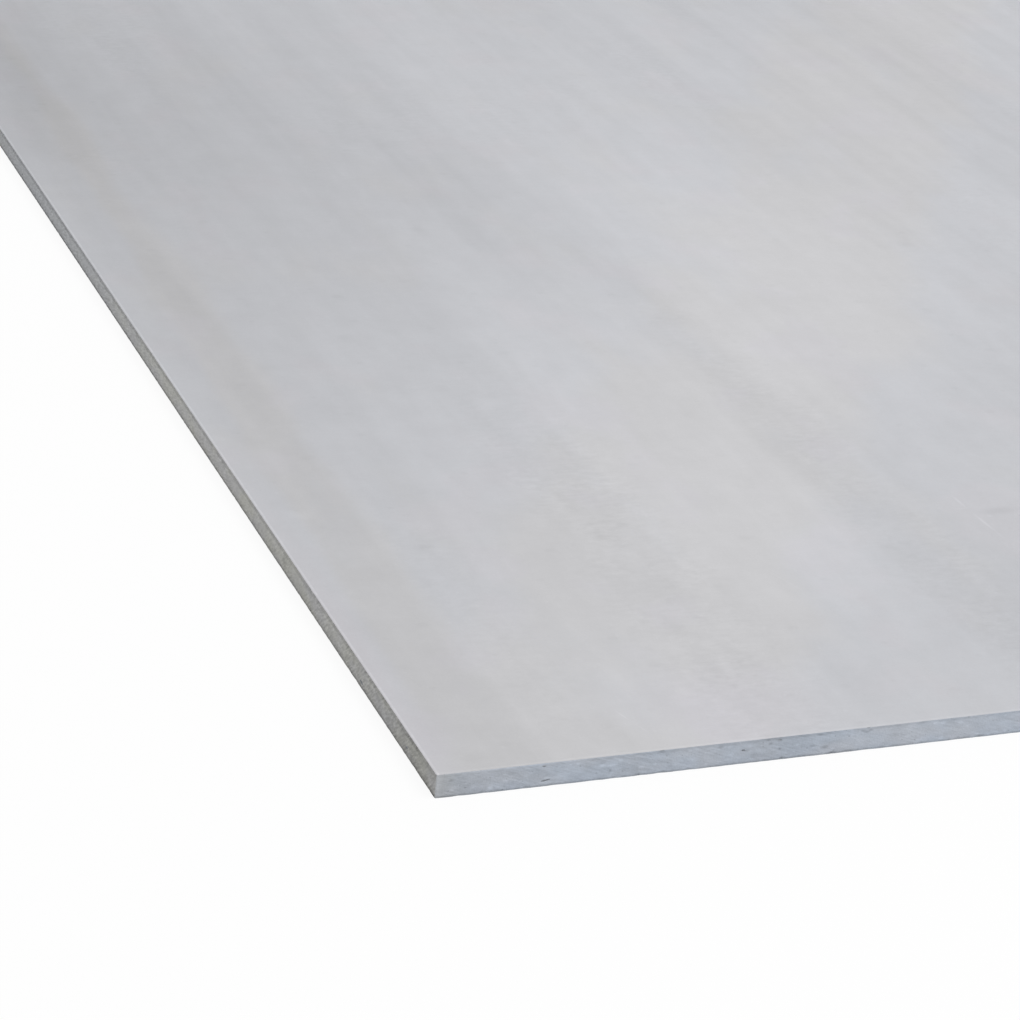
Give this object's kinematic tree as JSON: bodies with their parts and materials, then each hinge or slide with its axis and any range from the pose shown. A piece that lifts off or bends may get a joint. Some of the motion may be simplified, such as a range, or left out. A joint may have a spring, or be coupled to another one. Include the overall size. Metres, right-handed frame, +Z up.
{
  "type": "fire-resistant board",
  "caption": "Flat solid sheet of light grey cement board that resists fire, sawn square on every side, for lining walls, ceilings, shafts and steelwork.",
  "frame": {"origin": "centre of the underside, on the surface that the board lies on", "axes": "+X across the board's width, +Y along its length, the way its face is streaked, +Z up through its thickness, out of the wide face that shows"},
  "size_m": [1.2, 2.5, 0.012],
  "materials": {
    "cement_board": "matte"
  },
  "bodies": {
    "root": {"board": "cement_board"}
  },
  "joints": []
}
